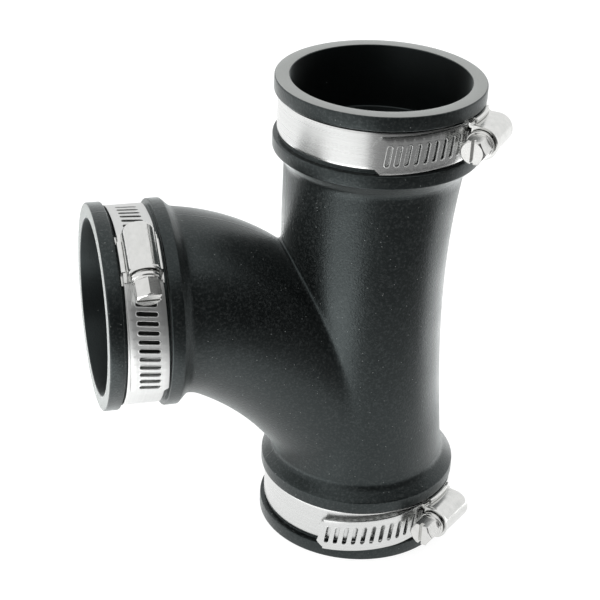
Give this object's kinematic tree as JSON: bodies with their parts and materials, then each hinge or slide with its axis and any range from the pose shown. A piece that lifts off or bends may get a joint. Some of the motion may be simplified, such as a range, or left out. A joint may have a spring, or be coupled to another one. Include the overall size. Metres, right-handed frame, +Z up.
{
  "type": "flexible repair tee",
  "caption": "Moulded rubber tee with a swept side branch and three slip-on sockets, each with a groove for a worm-drive band clamp.",
  "frame": {"origin": "centre of the bottom socket's mouth", "axes": "+Z up along the run to the top socket, -X along the branch, the body's mirror plane is XZ"},
  "size_m": [0.1368, 0.0798, 0.172],
  "materials": {
    "rubber": "satin black moulded elastomer",
    "band_steel": "bright rolled stainless strip",
    "housing_steel": "bright stamped stainless",
    "screw_steel": "bright stainless screw"
  },
  "bodies": {
    "tee": {"tee_body": "rubber"},
    "top_clamp": {"top_band": "band_steel", "top_saddle": "housing_steel", "top_housing": "housing_steel"},
    "top_worm": {"top_screw": "screw_steel"},
    "branch_clamp": {"branch_band": "band_steel", "branch_saddle": "housing_steel", "branch_housing": "housing_steel"},
    "branch_worm": {"branch_screw": "screw_steel"},
    "bottom_clamp": {"bottom_band": "band_steel", "bottom_saddle": "housing_steel", "bottom_housing": "housing_steel"},
    "bottom_worm": {"bottom_screw": "screw_steel"}
  },
  "joints": [
    {"name": "top_clamp_swivel", "type": "hinge", "parent": "tee", "child": "top_clamp", "pos_m": [0, 0, 0.1597], "axis": [0, 0, 1], "continuous": true},
    {"name": "top_screw_turn", "type": "hinge", "parent": "top_clamp", "child": "top_worm", "pos_m": [0.03003, -0.0252, 0.1597], "axis": [0.6428, 0.766, 0], "range_deg": [-4950, 990], "deforming": ["top_band"]},
    {"name": "branch_clamp_swivel", "type": "hinge", "parent": "tee", "child": "branch_clamp", "pos_m": [-0.0846, 0, 0.095], "axis": [-1, 0, 0], "continuous": true},
    {"name": "branch_screw_turn", "type": "hinge", "parent": "branch_clamp", "child": "branch_worm", "pos_m": [-0.0846, -0.02304, 0.12671], "axis": [0, 0.809, 0.5878], "range_deg": [-5850, 990], "deforming": ["branch_band"]},
    {"name": "bottom_clamp_swivel", "type": "hinge", "parent": "tee", "child": "bottom_clamp", "pos_m": [0, 0, 0.0131], "axis": [0, 0, 1], "continuous": true},
    {"name": "bottom_screw_turn", "type": "hinge", "parent": "bottom_clamp", "child": "bottom_worm", "pos_m": [0.02546, -0.02981, 0.0131], "axis": [0.7604, 0.6494, 0], "range_deg": [-5490, 990], "deforming": ["bottom_band"]}
  ]
}
